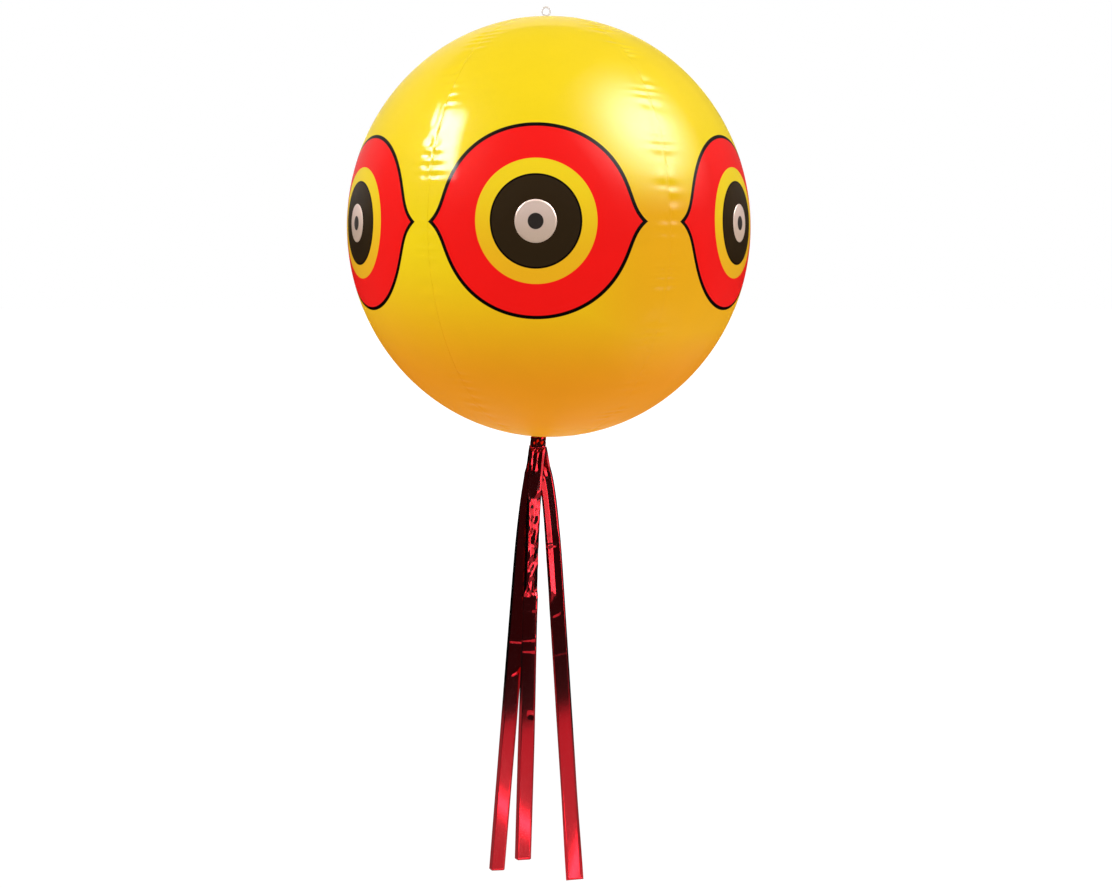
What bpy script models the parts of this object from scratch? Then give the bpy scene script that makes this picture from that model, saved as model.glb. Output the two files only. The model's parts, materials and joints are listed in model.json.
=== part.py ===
import math

import bmesh
import bpy
from mathutils import Matrix, Vector

# Bird scare balloon: an inflated film ball of six printed gores, hung by a clear loop,
# with three metallised streamers tied through a second loop beside its lower pole.
# Metres, +Z up. The origin is the middle of the hole in the hanging loop.

# Ball
ball_radius = 0.200
ball_half_height = 0.2026
gore_count = 6
film_thickness = 0.00025
pole_hole_radius = 0.006
fit_gap = 0.0003
patch_thickness = 0.0003
patch_margin = 0.004

# Printed eyes carry a round foil pupil each
eye_rise = 0.0131
front_eye_shift = -0.0091
pupil_radius = 0.0168
pupil_thickness = 0.00015

# Clear moulded loops, one above and one below
loop_hole_radius = 0.00305
loop_wall = 0.0015
loop_thickness = 0.0016
loop_neck_height = 0.00275
loop_neck_width = 0.0036
loop_neck_thickness = 0.0014
loop_base_radius = 0.007
loop_base_thickness = 0.0008
top_loop_offset = -0.0024
bottom_loop_offset = -0.012

# Valve, on the back gore below its eye
valve_latitude = math.radians(-62)
valve_flange_radius = 0.015
valve_flange_thickness = 0.0008
valve_flange_edge = 0.0004
valve_stem_radius = 0.0045
valve_bore_radius = 0.003
valve_lip_radius = 0.0062
valve_lip_thickness = 0.001
valve_depth = 0.014
valve_stop_radius = 0.006
valve_stop_thickness = 0.001
flap_radius = 0.0042
flap_thickness = 0.0004
flap_hinge_offset = 0.0039
plug_head_radius = 0.005
plug_head_thickness = 0.0013
plug_stub_length = 0.0062
plug_tip_radius = 0.0024
strap_width = 0.003
strap_thickness = 0.0006
strap_reach = 0.0035

# Knot of the streamers round the lower loop
knot_radius = 0.0087
knot_depth = 0.0072
knot_bevel = 0.0009
knot_clearance = 0.0006
link_half_width = 0.0019
link_half_thickness = 0.0009
link_clearance = 0.0005

# Streamers: three strips of metallised film that hang in layers, one in front of the other
streamer_width = 0.0215
streamer_thickness = 0.0002
left_length = 0.538
middle_length = 0.500
right_length = 0.540
left_lead = -0.0075
middle_lead = -0.0030
right_lead = 0.0080
lead_settle = 0.030
top_flatten = 0.020
layer_settle = 0.090
streamer_pleats = 3

# Sideways run of each strip as a share of its way down
lean_shares = {"left": -0.086, "middle": -0.034, "right": 0.064}
# Shares of its flat width that the pleats leave at shares of its length
pleat_stations_share = (0.0, 0.25, 0.75)
pleat_shares = {
    "left": (0.72, 0.88, 0.91),
    "middle": (0.72, 0.715, 0.89),
    "right": (0.70, 0.86, 1.0),
}
# Angles that each strip's face is turned by, at the knot and at its end
face_angles = {
    "left": (math.radians(8), math.radians(4)),
    "middle": (math.radians(10), math.radians(5)),
    "right": (math.radians(14), math.radians(3)),
}

# Mesh densities
gore_columns = 8
gore_rows = 22
disc_segments = 24
disc_rings = 2
round_segments = 24
link_segments = 16
strap_segments = 6
streamer_rows = 34
row_crowding_exponent = 1.5

lengths = {"left": left_length, "middle": middle_length, "right": right_length}
leads = {"left": left_lead, "middle": middle_lead, "right": right_lead}
# Each strip's depth as a share of the step between layers
layer_shares = {"left": 1, "middle": -1, "right": 0}

loop_outer_radius = loop_hole_radius + loop_wall
loop_bar_radius = loop_hole_radius + loop_wall / 2
loop_height = (
    fit_gap + patch_thickness + fit_gap + loop_base_thickness + loop_neck_height + loop_outer_radius
)


def ball_normal(longitude, latitude):
    # Longitude 0 faces -Y and grows towards +X
    return Vector((
        math.cos(latitude) * math.sin(longitude) / ball_radius,
        -math.cos(latitude) * math.cos(longitude) / ball_radius,
        math.sin(latitude) / ball_half_height,
    )).normalized()


def ball_surface(longitude, latitude, lift=0.0):
    # A point on the ball, from its centre, raised by lift along the surface's normal
    point = Vector((
        ball_radius * math.cos(latitude) * math.sin(longitude),
        -ball_radius * math.cos(latitude) * math.cos(longitude),
        ball_half_height * math.sin(latitude),
    ))
    return point + ball_normal(longitude, latitude) * lift


def polar_place(offset, side):
    # The longitude and latitude of a place that lies offset along X from a pole
    longitude = math.radians(90) if offset > 0 else math.radians(-90)
    return longitude, side * math.acos(abs(offset) / ball_radius)


top_place = polar_place(top_loop_offset, 1)
bottom_place = polar_place(bottom_loop_offset, -1)
ball_centre = -ball_surface(*top_place, lift=loop_height)
bottom_loop_centre = ball_centre + ball_surface(*bottom_place, lift=loop_height)
knot_pivot = bottom_loop_centre + Vector((0, 0, -loop_bar_radius))


def clear_scene():
    for item in list(bpy.data.objects):
        bpy.data.objects.remove(item)


def make_material(name, colour, roughness, metallic=0.0, alpha=1.0):
    material = bpy.data.materials.new(name)
    material.use_nodes = True
    shader = material.node_tree.nodes["Principled BSDF"]
    shader.inputs["Base Color"].default_value = (*colour, 1.0)
    shader.inputs["Roughness"].default_value = roughness
    shader.inputs["Metallic"].default_value = metallic
    shader.inputs["Alpha"].default_value = alpha
    return material


def add_object(name, bm, material, parent=None, smooth_angle=35):
    mesh = bpy.data.meshes.new(name)
    bm.to_mesh(mesh)
    bm.free()
    mesh.shade_smooth()
    mesh.set_sharp_from_angle(angle=math.radians(smooth_angle))
    mesh.materials.append(material)
    item = bpy.data.objects.new(name, mesh)
    item.parent = parent
    bpy.context.collection.objects.link(item)
    return item


def add_empty(name, matrix):
    item = bpy.data.objects.new(name, None)
    item.matrix_world = matrix
    bpy.context.collection.objects.link(item)
    return item


def add_tool(name, bm, parent=None):
    # A shape that only cuts or joins another one
    mesh = bpy.data.meshes.new(name)
    bm.to_mesh(mesh)
    bm.free()
    item = bpy.data.objects.new(name, mesh)
    item.parent = parent
    item.hide_render = True
    item.display_type = "WIRE"
    bpy.context.collection.objects.link(item)
    return item


def add_boolean(item, tool, operation):
    modifier = item.modifiers.new(operation.lower() + "_" + tool.name, "BOOLEAN")
    modifier.operation = operation
    modifier.object = tool


def add_thickness(item, thickness, offset):
    modifier = item.modifiers.new("thickness", "SOLIDIFY")
    modifier.thickness = thickness
    modifier.offset = offset
    modifier.use_even_offset = True


def grid_sheet(rows):
    # A sheet through rows of points, facing the way that rows cross columns
    bm = bmesh.new()
    verts = [[bm.verts.new(point) for point in row] for row in rows]
    for near, far in zip(verts, verts[1:]):
        for left in range(len(near) - 1):
            bm.faces.new((near[left], near[left + 1], far[left + 1], far[left]))
    return bm


def disc_sheet(radius, place):
    # A round sheet whose flat polar points are laid on a surface by place(across, up)
    bm = bmesh.new()
    middle = bm.verts.new(place(0.0, 0.0))
    inner = None
    for ring in range(1, disc_rings + 1):
        reach = radius * ring / disc_rings
        outer = []
        for step in range(disc_segments):
            angle = 2 * math.pi * step / disc_segments
            outer.append(bm.verts.new(place(reach * math.cos(angle), reach * math.sin(angle))))
        for step in range(disc_segments):
            ahead = (step + 1) % disc_segments
            if inner is None:
                bm.faces.new((middle, outer[step], outer[ahead]))
            else:
                bm.faces.new((inner[step], outer[step], outer[ahead], inner[ahead]))
        inner = outer
    return bm


def turned(profile, segments=round_segments):
    # A closed profile of (radius, height) points spun round the local Z axis
    bm = bmesh.new()
    verts = [bm.verts.new((radius, 0, height)) for radius, height in profile]
    edges = [bm.edges.new((verts[index - 1], verts[index])) for index in range(len(verts))]
    bmesh.ops.spin(
        bm, geom=verts + edges, cent=(0, 0, 0), axis=(0, 0, 1), angle=2 * math.pi,
        steps=segments, use_merge=True,
    )
    bmesh.ops.remove_doubles(bm, verts=bm.verts, dist=fit_gap / 1000)
    loose = [edge for edge in bm.edges if not edge.link_faces]
    bmesh.ops.delete(bm, geom=loose, context="EDGES")
    bmesh.ops.recalc_face_normals(bm, faces=bm.faces)
    return bm


def box(size, centre=(0, 0, 0)):
    bm = bmesh.new()
    bmesh.ops.create_cube(bm, size=1)
    bmesh.ops.scale(bm, vec=size, verts=bm.verts)
    bmesh.ops.translate(bm, vec=centre, verts=bm.verts)
    return bm


def rod(radius, length, axis, centre=(0, 0, 0), segments=round_segments):
    bm = bmesh.new()
    turn = Vector((0, 0, 1)).rotation_difference(Vector(axis)).to_matrix().to_4x4()
    bmesh.ops.create_cone(
        bm, cap_ends=True, segments=segments, radius1=radius, radius2=radius, depth=length,
        matrix=Matrix.Translation(centre) @ turn,
    )
    return bm


def surface_frame(longitude, latitude, lift=0.0):
    # Local Z leaves the ball, and local Y stays level or points to the top of the ball
    outward = ball_normal(longitude, latitude)
    if abs(outward.z) > math.cos(math.radians(45)) and abs(outward.y) < fit_gap:
        across = Vector((0, 1, 0)).cross(outward)
    else:
        across = Vector((0, 0, 1)).cross(outward)
    across.normalize()
    up = outward.cross(across)
    frame = Matrix((across, up, outward)).transposed().to_4x4()
    frame.translation = ball_centre + ball_surface(longitude, latitude, lift)
    return frame


def gore_point(centre_longitude, row_share, column_share):
    # column_share runs from -1 to 1 between the two seams
    top = math.acos(pole_hole_radius / ball_radius)
    latitude = top * (2 * row_share - 1)
    level_radius = ball_radius * math.cos(latitude)
    half_angle = math.pi / gore_count - math.asin(fit_gap / 2 / level_radius)
    return ball_surface(centre_longitude + half_angle * column_share, latitude)


def make_gore(index, name, material):
    centre_longitude = 2 * math.pi * index / gore_count
    rows = []
    for row in range(gore_rows + 1):
        shares = [2 * column / gore_columns - 1 for column in range(gore_columns + 1)]
        rows.append([gore_point(centre_longitude, row / gore_rows, share) for share in shares])
    gore = add_object(name, grid_sheet(rows), material)
    gore.location = ball_centre
    add_thickness(gore, film_thickness, -1)
    return gore


def make_pupil(index, name, material):
    centre_longitude = 2 * math.pi * index / gore_count
    shift = front_eye_shift if index == 0 else 0.0

    def place(across, up):
        latitude = (eye_rise + up) / ball_half_height
        longitude = centre_longitude + (shift + across) / (ball_radius * math.cos(latitude))
        return ball_surface(longitude, latitude, fit_gap)

    pupil = add_object(name, disc_sheet(pupil_radius, place), material)
    pupil.location = ball_centre
    add_thickness(pupil, pupil_thickness, 1)


def make_patch(name, side, offset, material):
    radius = abs(offset) + loop_base_radius + patch_margin

    def place(across, up):
        reach = math.hypot(across, up)
        longitude = math.atan2(across, -side * up)
        return ball_surface(longitude, side * math.acos(reach / ball_radius), fit_gap)

    patch = add_object(name, disc_sheet(radius, place), material)
    patch.location = ball_centre
    add_thickness(patch, patch_thickness, 1)


def make_loop(name, place, material):
    # A flat ring on a short neck that stands on a round weld base
    frame = add_empty(name + "_frame", surface_frame(*place, lift=0.0))
    base_low = fit_gap + patch_thickness + fit_gap
    base_high = base_low + loop_base_thickness
    ring = rod(loop_outer_radius, loop_thickness, (0, 1, 0), (0, 0, loop_height))
    loop = add_object(name, ring, material, frame)
    base = rod(loop_base_radius, loop_base_thickness, (0, 0, 1), (0, 0, (base_low + base_high) / 2))
    base_tool = add_tool(name + "_base", base, frame)
    neck_low = base_low + loop_base_thickness / 2
    neck_high = base_high + loop_neck_height + loop_wall / 2
    neck = box(
        (loop_neck_width, loop_neck_thickness, neck_high - neck_low),
        (0, 0, (neck_low + neck_high) / 2),
    )
    neck_tool = add_tool(name + "_neck", neck, frame)
    hole = rod(loop_hole_radius, 2 * loop_thickness, (0, 1, 0), (0, 0, loop_height))
    hole_tool = add_tool(name + "_hole", hole, frame)
    add_boolean(loop, neck_tool, "UNION")
    add_boolean(loop, base_tool, "UNION")
    add_boolean(loop, hole_tool, "DIFFERENCE")


def dome_drop(radius):
    # How far the ball's surface falls away at a distance from the valve's axis
    return ball_radius - math.sqrt(ball_radius ** 2 - radius ** 2)


valve_flange_top = fit_gap + valve_flange_thickness
valve_lip_low = valve_flange_top + fit_gap
valve_lip_high = valve_lip_low + valve_lip_thickness
valve_hole_radius = valve_stem_radius + 2 * fit_gap
plug_low = valve_lip_high + fit_gap
plug_high = plug_low + plug_head_thickness


def make_valve(back_gore, clear_material, plug_material):
    frame = add_empty("valve_frame", surface_frame(math.pi, valve_latitude))
    hole = rod(valve_hole_radius, 2 * valve_depth, (0, 0, 1))
    add_boolean(back_gore, add_tool("valve_hole", hole, frame), "DIFFERENCE")

    inner = valve_stem_radius + fit_gap
    middle = (inner + valve_flange_radius) / 2
    flange = [(radius, fit_gap - dome_drop(radius)) for radius in (inner, middle, valve_flange_radius)]
    flange.append((valve_flange_radius, fit_gap - dome_drop(valve_flange_radius) + valve_flange_edge))
    flange.append((valve_lip_radius, valve_flange_top - dome_drop(valve_lip_radius)))
    flange.append((inner, valve_flange_top - dome_drop(inner)))
    add_object("valve_flange", turned(flange), clear_material, frame)

    stop_high = valve_stop_thickness - valve_depth
    stem = (
        (valve_bore_radius, -valve_depth),
        (valve_stop_radius, -valve_depth),
        (valve_stop_radius, stop_high),
        (valve_stem_radius, stop_high),
        (valve_stem_radius, valve_lip_low),
        (valve_lip_radius, valve_lip_low),
        (valve_lip_radius, valve_lip_high),
        (valve_bore_radius, valve_lip_high),
    )
    add_object("valve_stem", turned(stem), clear_material, frame)

    stub_radius = valve_bore_radius - fit_gap
    stub_low = plug_low - plug_stub_length
    edge = plug_head_thickness / 3
    plug = (
        (0, stub_low),
        (plug_tip_radius, stub_low),
        (stub_radius, stub_low + plug_stub_length / 3),
        (stub_radius, plug_low),
        (plug_head_radius, plug_low),
        (plug_head_radius, plug_high - edge),
        (plug_head_radius - edge, plug_high),
        (0, plug_high),
    )
    add_object("valve_plug", turned(plug), plug_material, frame)

    flap_axis = Vector((0, flap_hinge_offset, -valve_depth - fit_gap - flap_thickness / 2))
    hinge = add_empty("flap_hinge", Matrix.Translation(flap_axis))
    hinge.parent = frame
    disc = rod(flap_radius, flap_thickness, (0, 0, 1), (0, -flap_hinge_offset, 0))
    add_object("valve_flap", disc, clear_material, hinge)

    strap = add_object("plug_strap", strap_sheet(), clear_material, frame)
    add_thickness(strap, strap_thickness, 0)


def strap_sheet():
    # A band bent back on itself in a half circle, from the stem's lip to the head of the plug
    low = (valve_lip_low + valve_lip_high) / 2
    high = (plug_low + plug_high) / 2
    bend = (high - low) / 2
    turn_x = valve_lip_radius + strap_reach
    route = [(valve_lip_radius + fit_gap, low)]
    for step in range(strap_segments + 1):
        angle = math.pi * (step / strap_segments - 1 / 2)
        route.append((turn_x + bend * math.cos(angle), (low + high) / 2 + bend * math.sin(angle)))
    route.append((plug_head_radius + fit_gap, high))
    return grid_sheet([
        [(along, side * strap_width / 2, height) for side in (-1, 1)] for along, height in route
    ])


def make_knot(material):
    # The gathered strips pass through the loop as a link and end in a rounded bunch
    frame = add_empty("knot_frame", Matrix.Translation(knot_pivot))
    bunch = rod(knot_radius, knot_depth, (0, 1, 0), segments=2 * round_segments)
    level = -(loop_wall / 2 + knot_clearance)
    geometry = bunch.verts[:] + bunch.edges[:] + bunch.faces[:]
    bmesh.ops.bisect_plane(
        bunch, geom=geometry, plane_co=(0, 0, level), plane_no=(0, 0, 1), clear_outer=True,
    )
    rim = [edge for edge in bunch.edges if edge.is_boundary]
    bmesh.ops.contextual_create(bunch, geom=rim)
    bmesh.ops.recalc_face_normals(bunch, faces=bunch.faces)
    sharp = [edge for edge in bunch.edges if edge.calc_face_angle() > math.radians(35)]
    bmesh.ops.bevel(
        bunch, geom=sharp, offset=knot_bevel, segments=1, profile=0.5, affect="EDGES", material=-1,
    )
    knot = add_object("streamer_knot", bunch, material, frame)

    link_radius = math.hypot(loop_wall, loop_thickness) / 2 + link_clearance + link_half_thickness
    link = bmesh.new()
    bmesh.ops.create_circle(link, segments=round_segments // 2, radius=1)
    bmesh.ops.scale(link, vec=(link_half_width, link_half_thickness, 0), verts=link.verts)
    bmesh.ops.translate(link, vec=(0, link_radius, 0), verts=link.verts)
    bmesh.ops.spin(
        link, geom=link.verts[:] + link.edges[:], cent=(0, 0, 0), axis=(1, 0, 0),
        angle=2 * math.pi, steps=link_segments, use_merge=True,
    )
    bmesh.ops.remove_doubles(link, verts=link.verts, dist=fit_gap / 1000)
    bmesh.ops.recalc_face_normals(link, faces=link.faces)
    add_boolean(knot, add_tool("knot_link", link, frame), "UNION")


def ease(value):
    value = min(max(value, 0.0), 1.0)
    return value * value * (3 - 2 * value)


def between(stations, values, share):
    # Smooth steps through values set at stations
    for low, high, first, last in zip(stations, stations[1:], values, values[1:]):
        if share <= high:
            return first + (last - first) * ease((share - low) / (high - low))
    return values[-1]


def pleat_depth(kept_share):
    # The depth of the pleats that leave this share of the strip's flat width
    return math.sqrt(max(1 - kept_share ** 2, 0.0)) * streamer_width / (2 * streamer_pleats)


layer_start = pleat_depth(min(shares[0] for shares in pleat_shares.values()))
layer_start += 2 * streamer_thickness + fit_gap
layer_spread = streamer_width / 2


def streamer_point(which, share, side):
    # side runs from -1 to 1 across the strip; the top edge is an arc round the knot
    down = lengths[which] * share
    first_turn, last_turn = face_angles[which]
    turn = (first_turn + (last_turn - first_turn) * share) * ease(down / (4 * lead_settle))
    kept = between(pleat_stations_share, pleat_shares[which], share)
    reach = side * kept * streamer_width / 2
    fold = pleat_depth(kept) * (abs((side + 1) * streamer_pleats % 2 - 1) - 1 / 2)
    x = leads[which] * (1 - math.exp(-down / lead_settle)) + lean_shares[which] * down
    x += reach * math.cos(turn) + fold * math.sin(turn)
    y = layer_shares[which] * (layer_start + layer_spread * (1 - math.exp(-down / layer_settle)))
    y += reach * math.sin(turn) - fold * math.cos(turn)
    start = knot_radius + fit_gap
    arc = math.sqrt(max(start ** 2 - x ** 2, 0.0))
    drop = down + arc + (start - arc) * ease(down / top_flatten)
    return Vector((x, y, -drop))


def make_streamer(which, material):
    name = "streamer_" + which
    hinge = add_empty(name + "_hinge", Matrix.Translation(knot_pivot))
    columns = 2 * streamer_pleats
    rows = []
    for row in range(streamer_rows + 1):
        share = (row / streamer_rows) ** row_crowding_exponent
        sides = [2 * column / columns - 1 for column in range(columns + 1)]
        rows.append([streamer_point(which, share, side) for side in sides])
    strip = add_object(name, grid_sheet(rows), material, hinge)
    add_thickness(strip, streamer_thickness, 0)


def build():
    clear_scene()
    film = make_material("yellow_film", (0.92, 0.64, 0.02), 0.22)
    clear = make_material("clear_vinyl", (0.85, 0.80, 0.76), 0.15, alpha=0.5)
    foil = make_material("silver_foil", (0.72, 0.66, 0.62), 0.25, metallic=0.9)
    red = make_material("red_foil", (0.55, 0.02, 0.03), 0.2, metallic=0.9)
    plug = make_material("plug_vinyl", (0.80, 0.76, 0.70), 0.3)
    names = ("front", "front_right", "back_right", "back", "back_left", "front_left")
    gores = {}
    for index in range(gore_count):
        name = names[index % len(names)]
        if index >= len(names):
            name += str(index)
        gores[index] = make_gore(index, "gore_" + name, film)
        make_pupil(index, "pupil_" + name, foil)
    make_patch("polar_patch_top", 1, top_loop_offset, film)
    make_patch("polar_patch_bottom", -1, bottom_loop_offset, film)
    make_loop("hanging_loop", top_place, clear)
    make_loop("streamer_loop", bottom_place, clear)
    make_valve(gores[gore_count // 2], clear, plug)
    make_knot(red)
    for which in lengths:
        make_streamer(which, red)


build()
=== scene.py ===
# A bird scare balloon: a printed film ball on a clear loop, with three red foil streamers
import json
from math import acos, asin, atan2, copysign, cos, exp, hypot, pi, radians, sin, sqrt, tan, tau

import bmesh
import bpy
from mathutils import Matrix, Vector, noise


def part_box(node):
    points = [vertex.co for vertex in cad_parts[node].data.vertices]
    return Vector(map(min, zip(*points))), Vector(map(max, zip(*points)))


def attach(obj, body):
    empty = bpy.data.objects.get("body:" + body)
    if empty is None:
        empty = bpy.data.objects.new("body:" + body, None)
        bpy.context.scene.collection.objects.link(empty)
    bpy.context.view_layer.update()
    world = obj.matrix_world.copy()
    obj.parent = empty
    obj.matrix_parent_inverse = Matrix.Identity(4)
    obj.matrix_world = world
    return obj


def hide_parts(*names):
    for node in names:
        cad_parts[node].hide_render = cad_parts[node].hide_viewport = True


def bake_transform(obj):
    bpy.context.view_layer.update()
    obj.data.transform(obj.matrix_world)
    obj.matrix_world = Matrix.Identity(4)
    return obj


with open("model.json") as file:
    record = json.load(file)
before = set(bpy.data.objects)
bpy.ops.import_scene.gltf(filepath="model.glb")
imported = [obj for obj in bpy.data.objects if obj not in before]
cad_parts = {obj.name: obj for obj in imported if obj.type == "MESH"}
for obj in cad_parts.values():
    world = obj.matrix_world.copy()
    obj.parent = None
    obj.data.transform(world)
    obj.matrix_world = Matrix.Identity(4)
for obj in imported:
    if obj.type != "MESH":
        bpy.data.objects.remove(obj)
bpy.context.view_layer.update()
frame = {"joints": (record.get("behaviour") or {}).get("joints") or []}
joints = {joint["name"]: joint for joint in frame["joints"]}

# The ball: six printed panels, welded in pairs along lapped seams
ball = {
    "radius": 0.200,
    "halfHeight": 0.2026,
    "panels": 6,
    "film": 0.00012,
    "gap": 0.0003,
    "poleHole": 0.006,
    "rows": 400,
    "columns": 56,
    "crowding": 1.7,  # how much the columns crowd towards the seams
    "lap": 0.004,
    "lapRise": 0.00014,
    "lapEase": 0.0012,
    "dip": 0.0003,  # the weld draws the film in
    "dipReach": 0.006,
    "pucker": 0.0005,
    "puckerReach": 0.0036,
    "puckerLength": 0.0125,
    "puckerPatch": 0.022,  # puckers come and go over this length
    "puckerWander": 0.030,
    "narrow": 0.040,  # puckers fade where a panel gets narrower than this
}
panelNames = ("front", "front_right", "back_right", "back", "back_left", "front_left")
frontLow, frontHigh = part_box("gore_front")
backLow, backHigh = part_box("gore_back")
ballCentre = Vector((
    (frontLow.x + frontHigh.x) / 2,
    (frontLow.y + backHigh.y) / 2,
    (frontLow.z + frontHigh.z) / 2,
))
roundSteps = 96  # sides of a round form

# The printed eye, in metres on the film
eye = {
    "rise": 0.0131,
    "frontShift": -0.0091,
    "outline": 0.0776,
    "outlineSide": 0.0018,
    "corner": 0.0112,
    "cornerSpread": radians(5.8),
    "stroke": 0.00155,
    "ring": 0.0493,
    "iris": 0.0363,
    "irisRim": 0.0010,
    "pupil": 0.0168,
    "dot": 0.0063,
    "soft": 0.00025,
    "foilLift": 0.00006,
    "foilThick": 0.00005,
}


def toLinear(red, green, blue):
    # A colour as seen on screen, 0 to 255, for a shader socket
    channels = []
    for value in (red, green, blue):
        value /= 255
        channels.append(value / 12.92 if value <= 0.04045 else ((value + 0.055) / 1.055) ** 2.4)
    return (*channels, 1.0)


def ease(value):
    value = min(max(value, 0.0), 1.0)
    return value * value * (3 - 2 * value)


def between(stations, values, share):
    for low, high, first, last in zip(stations, stations[1:], values, values[1:]):
        if share <= high:
            return first + (last - first) * ease((share - low) / (high - low))
    return values[-1]


# Points on the ball. Longitude 0 faces the viewer and grows towards +X


def ballNormal(longitude, latitude):
    return Vector((
        cos(latitude) * sin(longitude) / ball["radius"],
        -cos(latitude) * cos(longitude) / ball["radius"],
        sin(latitude) / ball["halfHeight"],
    )).normalized()


def ballPoint(longitude, latitude, lift=0.0):
    point = Vector((
        ball["radius"] * cos(latitude) * sin(longitude),
        -ball["radius"] * cos(latitude) * cos(longitude),
        ball["halfHeight"] * sin(latitude),
    ))
    return ballCentre + point + ballNormal(longitude, latitude) * lift


def surfaceFrame(longitude, latitude):
    # Local Z leaves the ball, and local Y stays level or points to the top of the ball
    outward = ballNormal(longitude, latitude)
    if abs(outward.z) > 0.7 and abs(outward.y) < 0.001:
        across = Vector((0, 1, 0)).cross(outward)
    else:
        across = Vector((0, 0, 1)).cross(outward)
    across.normalize()
    place = Matrix((across, outward.cross(across), outward)).transposed().to_4x4()
    place.translation = ballPoint(longitude, latitude)
    return place


# Shader building


def fill(node, values):
    # Sets a node's inputs: a socket is linked, anything else is the input's value
    for name, value in values.items():
        if isinstance(value, bpy.types.NodeSocket):
            node.id_data.links.new(value, node.inputs[name])
        else:
            node.inputs[name].default_value = value
    return node


def addNode(kind, values, **settings):
    # A node in the tree that the sockets among its values belong to
    sockets = [value for value in values.values() if isinstance(value, bpy.types.NodeSocket)]
    node = sockets[0].id_data.nodes.new(kind)
    for name, value in settings.items():
        setattr(node, name, value)
    return fill(node, values)


def maths(operation, *values):
    return addNode("ShaderNodeMath", dict(enumerate(values)), operation=operation).outputs[0]


def plus(first, second):
    return maths("ADD", first, second)


def minus(first, second):
    return maths("SUBTRACT", first, second)


def times(first, second):
    return maths("MULTIPLY", first, second)


def scaled(value, factor, start):
    return maths("MULTIPLY_ADD", value, factor, start)


def absolute(value):
    return maths("ABSOLUTE", value)


def distance(x, y):
    return maths("SQRT", plus(times(x, x), times(y, y)))


def mix(share, first, second):
    # Colours: first where share is 0, second where it is 1
    values = {"Factor": share, 6: first, 7: second}
    return addNode("ShaderNodeMix", values, data_type="RGBA").outputs[2]


def ramp(value, low, high, first=0.0, last=1.0):
    # Goes smoothly from first to last while value goes from low to high
    values = {"Value": value, "From Min": low, "From Max": high, "To Min": first, "To Max": last}
    return addNode("ShaderNodeMapRange", values, interpolation_type="SMOOTHSTEP").outputs["Result"]


def softEdge(value, at, soft, first=1.0, last=0.0):
    return ramp(value, at - soft, at + soft, first, last)


def noiseOf(vector, scale, detail=2.0, rough=0.5):
    values = {"Vector": vector, "Scale": scale, "Detail": detail, "Roughness": rough}
    return addNode("ShaderNodeTexNoise", values).outputs["Fac"]


def bumpOf(height, reach, strength):
    values = {"Height": height, "Distance": reach, "Strength": strength}
    return addNode("ShaderNodeBump", values).outputs["Normal"]


def coordinates(tree, kind="Object", location=(0, 0, 0), scale=(1, 1, 1)):
    source = tree.nodes.new("ShaderNodeTexCoord").outputs[kind]
    values = {"Vector": source, "Location": location, "Scale": scale}
    return addNode("ShaderNodeMapping", values).outputs["Vector"]


def separate(vector):
    return addNode("ShaderNodeSeparateXYZ", {0: vector}).outputs


def newGroup(name, inputs, outputs):
    # Every socket is a number, apart from Vector
    tree = bpy.data.node_groups.new(name, "ShaderNodeTree")
    for side, labels in (("INPUT", inputs), ("OUTPUT", outputs)):
        for label in labels:
            kind = "NodeSocketVector" if label == "Vector" else "NodeSocketFloat"
            tree.interface.new_socket(label, in_out=side, socket_type=kind)
    return tree, tree.nodes.new("NodeGroupInput").outputs, tree.nodes.new("NodeGroupOutput")


def useGroup(group, values):
    return addNode("ShaderNodeGroup", values, node_tree=group).outputs


def newMaterial(name, values):
    material = bpy.data.materials.new(name)
    material.use_nodes = True
    tree = material.node_tree
    return material, tree, fill(tree.nodes["Principled BSDF"], values)


def filmGrainGroup():
    # Mottled pigment and handling marks of thin film
    tree, given, out = newGroup("filmGrain", ("Vector", "Scale"), ("Mottle", "Scuff", "Ripple"))
    vector, scale = given["Vector"], given["Scale"]
    broad = noiseOf(vector, scale, 3.0)
    fine = noiseOf(vector, times(scale, 22.0))
    marks = noiseOf(vector, times(scale, 5.0), 6.0, 0.7)
    fill(out, {
        "Mottle": plus(times(broad, 0.5), times(fine, 0.5)),
        "Scuff": ramp(marks, 0.62, 0.75),
        "Ripple": noiseOf(vector, times(scale, 2.6), 1.0),
    })
    return tree


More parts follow.
